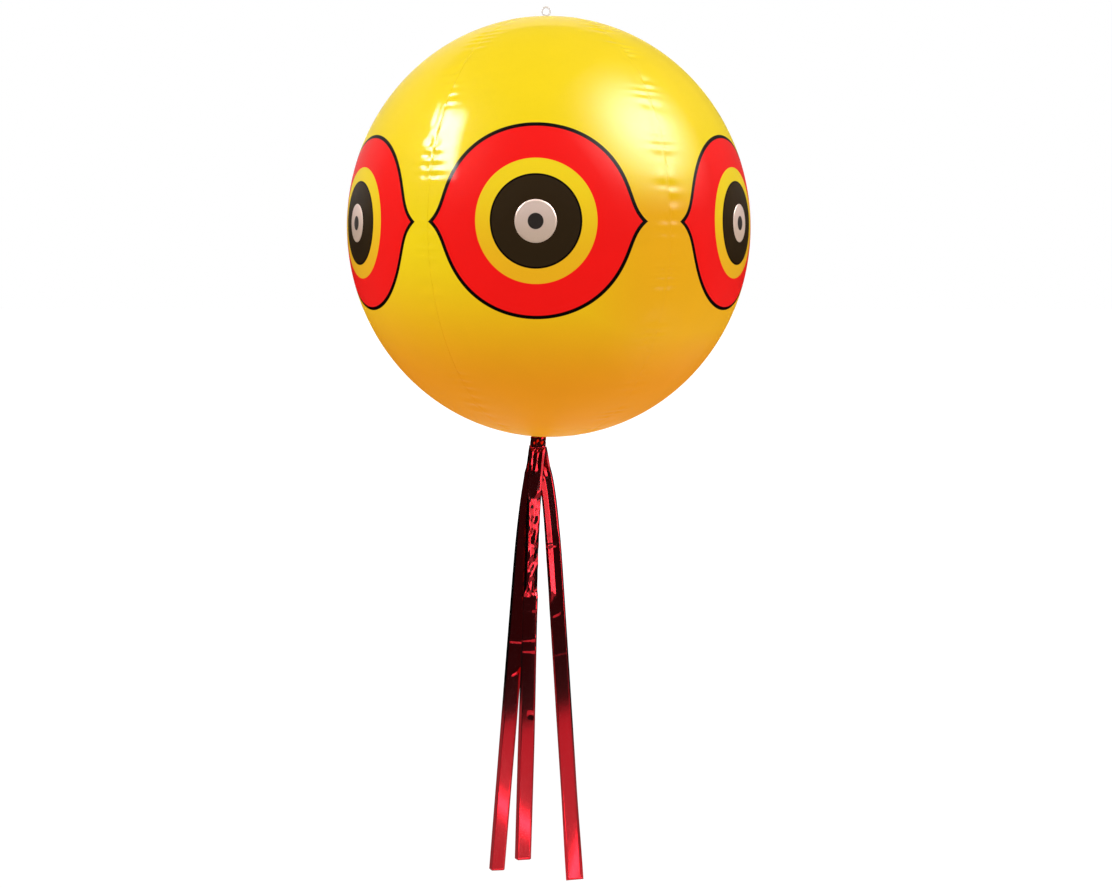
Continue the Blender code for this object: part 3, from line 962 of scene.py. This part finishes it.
# Per strip: kept is the share of its width that shows, at each of the stations; sides are where
# its facets end, from -1 to 1 across, and each row of bends is a way down and the facets' slopes
# there, in degrees; creases are (way down, side, half length, tilt in degrees, height, half
# width); crumple is (from, to, left side, height)
strips = {
    "left": {
        "length": 0.538, "lead": -0.0075, "lean": -0.086, "turn": (3, 3),
        "layer": 1, "layerSettle": 0.045,
        "kept": (0.72, 0.88, 0.88, 0.89),
        "sides": (-0.50, 0.0, 0.80, 1.0),
        "bends": (
            (0.04, (-50, -6, 0, -4)),
            (0.25, (-50, -2, -2, -6)),
            (0.30, (-42, 0, 0, 42)),
        ),
        "creases": (
            (0.170, -0.1, 0.5, 40, 0.0004, 0.004),
            (0.228, 0.0, 1.2, 4, 0.0006, 0.0042),
            (0.268, 0.35, 0.2, -30, 0.0006, 0.004),
        ),
    },
    "middle": {
        "length": 0.500, "lead": -0.0030, "lean": -0.034, "turn": (8, 5),
        "layer": -1, "layerSettle": 0.090,
        "kept": (0.72, 0.715, 0.89, 0.90),
        "sides": (-0.52, 0.40, 0.80, 1.0),
        "bends": (
            (0.040, (-50, -8, 14, 26)),
            (0.058, (-56, 32, 40, 40)),
            (0.146, (-56, 32, 40, 40)),
            (0.164, (-48, -6, 6, 20)),
            (0.30, (-46, 0, 0, 42)),
        ),
        "creases": (
            (0.169, -0.2, 0.2, 25, 0.0006, 0.004),
            (0.177, 0.2, 0.8, 3, 0.0005, 0.004),
            (0.2128, 0.0, 1.2, -4, 0.0006, 0.004),
            (0.2262, 0.0, 1.2, 3, 0.0006, 0.004),
            (0.308, 0.6, 0.25, 14, -0.0005, 0.005),
        ),
        "crumple": (0.046, 0.168, -0.5, 0.0042),
    },
    "right": {
        "length": 0.540, "lead": 0.0107, "lean": 0.059, "turn": (8, 7),
        "layer": 0, "layerSettle": 0.090,
        "kept": (0.70, 0.84, 0.89, 1.0),
        "sides": (-0.70, -0.06, 0.68, 1.0),
        "bends": (
            (0.010, (-40, 28, 12, 42)),
            (0.085, (-46, 28, 10, 42)),
            (0.105, (-46, 30, -6, 60)),
            (0.155, (-46, 28, -6, 60)),
            (0.180, (-50, 0, 0, 50)),
            (0.30, (-50, 0, 0, 44)),
        ),
        "creases": (
            (0.106, -0.4, 0.5, 6, 0.0014, 0.003),
            (0.164, 0.0, 0.3, 20, 0.0005, 0.004),
            (0.188, -0.2, 0.25, -22, 0.0007, 0.004),
            (0.236, 0.1, 0.8, -10, 0.0002, 0.004),
        ),
    },
}
# The strips lie behind each other at the knot, where the pleats are this deep
pleatDepth = sqrt(1 - 0.70 ** 2) * strip["width"] / (2 * strip["pleats"])
layerStart = pleatDepth + 2 * strip["thick"] + ball["gap"]


def stripSlopes(own, down):
    # Each column's slope, in radians: gathered pleats first, then the strip's own facets
    stations = [row[0] for row in own["bends"]]
    facets = []
    for number in range(len(own["sides"])):
        values = [row[1][number] for row in own["bends"]]
        facets.append(between(stations, values, max(down, stations[0])))
    fade = ease((down - strip["fadeFrom"]) / (strip["fadeTo"] - strip["fadeFrom"]))
    slopes = []
    for column in range(strip["columns"]):
        side = 2 * (column + 0.5) / strip["columns"] - 1
        slope = facets[0]
        for begin, facet, before in zip(own["sides"], facets[1:], facets):
            slope += (facet - before) * ease((side - begin + 0.07) / 0.14)
        inward = int((side + 1) * strip["pleats"]) % 2
        gathered = strip["gathered"] if inward else -strip["gathered"]
        slopes.append(radians(gathered + (slope - gathered) * fade))
    return slopes


def section(slopes, measure):
    # The strip's cross section for one measure of its slopes, as (across, depth) from its middle
    step = strip["width"] / strip["columns"]
    across, depth = [0.0], [0.0]
    for slope in slopes:
        across.append(across[-1] + step * cos(slope * measure))
        depth.append(depth[-1] + step * sin(slope * measure))
    width = across[-1]
    mean = sum(depth) / len(depth)
    return [value - width / 2 for value in across], [value - mean for value in depth], width


def measureFor(slopes, kept):
    # How far the facets have to fold for the strip to be as wide as seen
    low, high = 0.0, 1.8
    for trial in range(14):
        middle = (low + high) / 2
        if section(slopes, middle)[2] > kept * strip["width"]:
            low = middle
        else:
            high = middle
    return (low + high) / 2


def creaseHeight(own, down, side, seed):
    height = 0.0
    reach = side * strip["width"] / 2
    for at, middle, half, tilt, rise, width in own["creases"]:
        slant = tan(radians(tilt))
        away = abs(down - at - (reach - middle * strip["width"] / 2) * slant) / width
        if away < 1:
            edge = ease((half + 0.35 - abs(side - middle)) / 0.35)
            height += rise * (1 - away) * edge
    calm = 1 - 0.93 * ease((down - strip["calmFrom"]) / (strip["calmTo"] - strip["calmFrom"]))
    length, rise = strip["slowWave"]
    slow = noise.noise(Vector((down / length, side * 0.5 + seed, 1.0))) * rise * calm
    length, rise = strip["quickWave"]
    quick = noise.noise(Vector((down / length, side * 1.2 + seed, 9.0))) * rise * calm
    if "crumple" in own:
        begin, end, left, rise = own["crumple"]
        if begin < down < end:
            amount = rise * ease((down - begin) / 0.012) * ease((end - down) / 0.012)
            amount *= ease((side - left) / 0.3)
            height += amount * noise.noise(Vector((reach / 0.011, down / 0.012, seed)))
    return height + slow + quick


def makeStreamer(which, seed, material):
    own = strips[which]
    columns = strip["columns"]
    bm = bmesh.new()
    bm.loops.layers.uv.new("UVMap")
    bmesh.ops.create_grid(
        bm, x_segments=columns, y_segments=strip["rows"], size=1, calc_uvs=True,
    )
    rows = {}
    for vert in bm.verts:
        rows.setdefault(round((1 - vert.co.y) / 2 * strip["rows"]), []).append(vert)
    firstTurn, lastTurn = (radians(value) for value in own["turn"])
    start = knot["radius"] + ball["gap"]
    for row, verts in rows.items():
        share = (row / strip["rows"]) ** strip["crowding"]
        down = own["length"] * share
        turn = firstTurn + (lastTurn - firstTurn) * share
        turn *= ease(down / (4 * strip["leadSettle"]))
        slopes = stripSlopes(own, down)
        kept = between(strip["stations"], own["kept"], share)
        kept += strip["topSpread"] * (1 - ease(down / strip["spreadReach"]))
        across, depth, width = section(slopes, measureFor(slopes, kept))
        leadX = own["lead"] * (1 - exp(-down / strip["leadSettle"])) + own["lean"] * down
        settled = 1 - exp(-down / own["layerSettle"])
        layer = own["layer"] * (layerStart + strip["width"] / 2 * settled)
        for vert in verts:
            column = round((vert.co.x + 1) / 2 * columns)
            side = 2 * column / columns - 1
            deep = depth[column] - creaseHeight(own, down, side, seed) * ease(down / 0.03)
            deep -= strip["endCurl"] * ease((down - own["length"]) / strip["endReach"] + 1)
            x = leadX + across[column] * cos(turn) - deep * sin(turn)
            y = layer + across[column] * sin(turn) + deep * cos(turn)
            arc = sqrt(max(start ** 2 - x ** 2, 0.0))
            drop = down + arc + (start - arc) * ease(down / strip["topFlatten"])
            vert.co = knotPivot + Vector((x, y, -drop))
    bm.normal_update()
    name, body = "foil_strip_" + which, which + "_streamer"
    piece = addPiece(name, bm, material, body, "red_foil", ["streamer_" + which], 60)
    thicken(piece, strip["thick"], 0)


# Studio: gloss sees a dark room, a dim ceiling, a bright wall behind and a paper floor.
# Rises are in degrees above the level, and a pair is where something starts and ends
studio = {
    "room": 0.03,
    "roomSide": 0.012,
    "roomTurn": (radians(45), radians(68)),
    "ceiling": 0.06,
    "ceilingRise": (18, 40),
    "wall": 0.85,
    "wallLeft": 0.40,
    "wallLeftX": (-0.55, -0.15),
    "wallRight": 0.15,  # as a share of the middle of the wall
    "wallRightX": (0.0, 0.3),
    "wallTurn": (radians(105), radians(125)),
    "wallFootRise": (0, 12),
    "wallTopRise": (43, 47),
    "fill": 0.84,
    "fillLow": 0.88,
    "floor": -1.25,
    "paper": 0.67,
    "paperMiddle": (0.30, 0.50),
    "paperFront": -0.773,  # the white paper ends here, in front of the object, at a slant
    "paperSlant": 0.31,
    "paperBlur": 0.032,
    "side": 0.36,
    "sideEnd": 1.05,  # how far to either side the dimmer paper reaches
    "sideEndBlur": 0.06,
    "sideEndLevel": 0.01,
    "sideBack": 0.3,
    "sideBackBlur": 0.1,
    "sideBackShare": 0.03,
    "pool": 7.5,
    "poolWidth": 0.036,
    "poolBlur": 0.014,
    "white": (0.80, 1.02),  # the floor as the camera sees it, near the object and far away
    "whiteReach": (0.8, 2.5),
    "shadow": 0.26,
}
# Pools of light on the floor: x, y, y's slope along x, and reach
pools = ((-0.042, -0.487, 1.35, 0.024), (0.042, -0.482, 1.35, 0.024), (0.130, -0.345, -2.0, 0.015))
white, black = (1, 1, 1, 1), (0, 0, 0, 1)


def lightPath(tree, *kinds):
    node = tree.nodes.new("ShaderNodeLightPath")
    total = node.outputs[kinds[0]]
    for kind in kinds[1:]:
        total = maths("MAXIMUM", total, node.outputs[kind])
    return total


def rises(low, high):
    return sin(radians(low)), sin(radians(high))


def buildWorld():
    world = bpy.data.worlds.new("studio")
    bpy.context.scene.world = world
    world.use_nodes = True
    tree = world.node_tree
    x, y, z = separate(tree.nodes.new("ShaderNodeTexCoord").outputs["Generated"])
    wide = absolute(maths("ARCTAN2", x, times(y, -1.0)))
    room = ramp(wide, *studio["roomTurn"], studio["room"], studio["roomSide"])
    ceiling = ramp(z, *rises(*studio["ceilingRise"]), 0.0, studio["ceiling"])
    wall = ramp(x, *studio["wallLeftX"], studio["wallLeft"], studio["wall"])
    wall = times(wall, ramp(x, *studio["wallRightX"], 1.0, studio["wallRight"]))
    wall = times(wall, ramp(wide, *studio["wallTurn"]))
    wall = times(wall, ramp(z, *rises(*studio["wallFootRise"])))
    wall = times(wall, ramp(z, *rises(*studio["wallTopRise"]), 1.0, 0.0))
    gloss = plus(plus(room, ceiling), wall)
    seen = lightPath(tree, "Is Camera Ray", "Is Transmission Ray")
    colour = mix(lightPath(tree, "Is Glossy Ray"), (studio["fill"],) * 3 + (1,), gloss)
    fill(tree.nodes["Background"], {"Color": mix(seen, colour, white), "Strength": 1.0})


def glowMaterial(name):
    # A material, its tree, and a function that puts a glow and one other shader on its output
    material = bpy.data.materials.new(name)
    material.use_nodes = True
    tree = material.node_tree
    tree.nodes.remove(tree.nodes["Principled BSDF"])

    def finish(level, other):
        emission = addNode("ShaderNodeEmission", {"Strength": level})
        both = addNode("ShaderNodeAddShader", {0: emission.outputs[0], 1: other.outputs[0]})
        fill(tree.nodes["Material Output"], {"Surface": both.outputs[0]})

    return material, tree, finish


def buildFloor():
    bm = bmesh.new()
    bmesh.ops.create_grid(bm, x_segments=1, y_segments=1, size=12)
    moveBy(bm, bm.verts, 0, 0, studio["floor"])
    floor = addObject("floor", meshOf("floor", bm))
    material, tree, finish = glowMaterial("paper")
    x, y, z = separate(coordinates(tree))
    aside = absolute(x)
    edge = scaled(x, studio["paperSlant"], y)
    paper = softEdge(edge, studio["paperFront"], studio["paperBlur"], 0.0, 1.0)
    side = softEdge(
        aside, studio["sideEnd"], studio["sideEndBlur"], studio["side"], studio["sideEndLevel"],
    )
    back = softEdge(y, studio["sideBack"], studio["sideBackBlur"], 1.0, studio["sideBackShare"])
    side = times(side, back)
    middle = ramp(aside, *studio["paperMiddle"], 1.0, 0.0)
    level = scaled(middle, minus(studio["paper"], side), side)
    gloss = scaled(paper, minus(level, studio["room"]), studio["room"])
    # Slanting pools of light that the streamers' ends mirror
    wide = studio["poolWidth"]
    for poolX, poolY, slope, reach in pools:
        own = minus(x, poolX)
        away = maths("DIVIDE", minus(y, scaled(own, slope, poolY)), reach)
        pool = maths("EXPONENT", times(times(away, away), -1.0))
        near = ramp(absolute(own), wide, wide + studio["poolBlur"], studio["pool"], 0.0)
        gloss = scaled(pool, near, gloss)
    seen = lightPath(tree, "Is Camera Ray", "Is Transmission Ray")
    pale = ramp(distance(x, y), *studio["whiteReach"], *studio["white"])
    level = plus(times(seen, pale), times(lightPath(tree, "Is Glossy Ray"), gloss))
    level = scaled(lightPath(tree, "Is Diffuse Ray"), studio["fillLow"], level)
    shadow = mix(times(seen, studio["shadow"]), black, white)
    finish(level, addNode("ShaderNodeBsdfDiffuse", {"Color": shadow}))
    floor.data.materials.append(material)


def towards(azimuth, elevation):
    turn, rise = radians(azimuth), radians(elevation)
    return Vector((sin(turn) * cos(rise), -cos(turn) * cos(rise), sin(rise)))


def addLamp(name, azimuth, elevation, away, size, power):
    # A softbox that faces the ball. Gloss doesn't show it, and has the cards instead
    data = bpy.data.lights.new(name, "AREA")
    data.shape = "RECTANGLE"
    data.size, data.size_y = size
    data.energy = power
    lamp = addObject(name, data)
    facing = towards(azimuth, elevation)
    lamp.location = ballCentre + facing * away
    lamp.rotation_euler = facing.to_track_quat("Z", "Y").to_euler()
    lamp.visible_camera = False
    lamp.visible_glossy = False


def addCard(name, place, facing, size, level, slant=0.0, edge=None):
    # A light panel that only gloss shows: soft at its edge, or fading from its middle without one
    bm = bmesh.new()
    bmesh.ops.create_grid(bm, x_segments=1, y_segments=1, size=2, calc_uvs=True)
    turn = facing.to_track_quat("Z", "Y").to_matrix()
    layer = bm.loops.layers.uv.new("UVMap")
    for face in bm.faces:
        for corner in face.loops:
            corner[layer].uv = corner.vert.co.xy
    bmesh.ops.scale(bm, verts=bm.verts, vec=(size[0] / 2, size[1] / 2, 1))
    bmesh.ops.rotate(bm, verts=bm.verts, cent=(0, 0, 0), matrix=turn)
    moveBy(bm, bm.verts, *place)
    card = addObject(name, meshOf(name, bm))
    for kind in ("camera", "diffuse", "transmission", "shadow"):
        setattr(card, "visible_" + kind, False)
    material, tree, finish = glowMaterial(name)
    x, y, z = separate(coordinates(tree, "UV"))
    x = scaled(y, slant, x)
    if edge is None:
        mask = maths("EXPONENT", times(plus(times(x, x), times(y, y)), -1.0))
    else:
        mask = times(softEdge(absolute(y), 1, edge), softEdge(absolute(x), 1, edge))
    finish(times(mask, level), tree.nodes.new("ShaderNodeBsdfTransparent"))
    card.data.materials.append(material)


# The photograph's viewing angle
view = {
    "lens": 27.842,
    "sensor": 36,
    "place": (0.00699, -0.9, 0),  # from the ball's centre
    "tilt": 13.4677,
}


def buildCamera():
    data = bpy.data.cameras.new("camera")
    data.lens = view["lens"]
    data.sensor_width = view["sensor"]
    data.clip_start = 0.01
    camera = addObject("camera", data)
    camera.location = ballCentre + Vector(view["place"])
    camera.rotation_euler = (radians(90 - view["tilt"]), 0, 0)
    bpy.context.scene.camera = camera


buildCamera()
buildWorld()
buildFloor()
for lamp in (  # name, azimuth, elevation, distance, size, power
    ("softbox", -60, 38, 1.4, (0.7, 0.9), 3.8),
    ("sideLight", 65, 25, 1.4, (0.9, 0.9), 3.2),
    ("topLight", 20, 75, 1.4, (1.2, 1.2), 1.0),
    ("bounce", 180, -60, 1.0, (1.0, 1.0), 8.5),
):
    addLamp(*lamp)
left, right, sideways = towards(-66.3, 39.3), towards(66, 45), Vector((1, 0, 0))
addCard("softboxGlare", ballCentre + left * 1.3, left, (0.38, 0.54), 52, slant=0.68, edge=0.4)
addCard("glow", ballCentre + right * 1.5, right, (0.98, 0.98), 33)
addCard("sideCard", Vector((0.45, -0.21, -0.66)), sideways, (0.20, 0.34), 5, edge=0.25)
addCard("farSideCard", Vector((0.45, 0.07, -0.595)), sideways, (0.34, 0.21), 1.1, edge=0.25)
print("studio ready")

printed = filmMaterial("printedFilm", 0.0)
printedFront = filmMaterial("printedFilmFront", eye["frontShift"])
plain = filmMaterial("plainFilm")
foil = silverMaterial()
clearVinyl = vinylMaterial("clearVinyl", toLinear(238, 228, 222), 0.9, 0.12)
milkyVinyl = vinylMaterial("milkyVinyl", toLinear(226, 220, 210), 0.0, 0.32)
redFoil = redMaterial()
for index, name in enumerate(panelNames):
    makePanel(index, name, printedFront if index == 0 else printed)
    makePupil(index, name, foil)
print("ball ready")
makePatch("top", 1, loop["topOffset"], plain)
makePatch("bottom", -1, loop["lowOffset"], plain)
makeLoop("hanging_loop", loop["topOffset"], 1, clearVinyl)
makeLoop("streamer_loop", loop["lowOffset"], -1, clearVinyl)
print("loops ready")
makeValve(clearVinyl, milkyVinyl)
print("valve ready")
makeKnot(redFoil)
makeCuff(redFoil)
for seed, which in enumerate(strips):
    makeStreamer(which, seed * 11.3, redFoil)
print("streamers ready")

bpy.context.scene.view_settings.view_transform = "Standard"
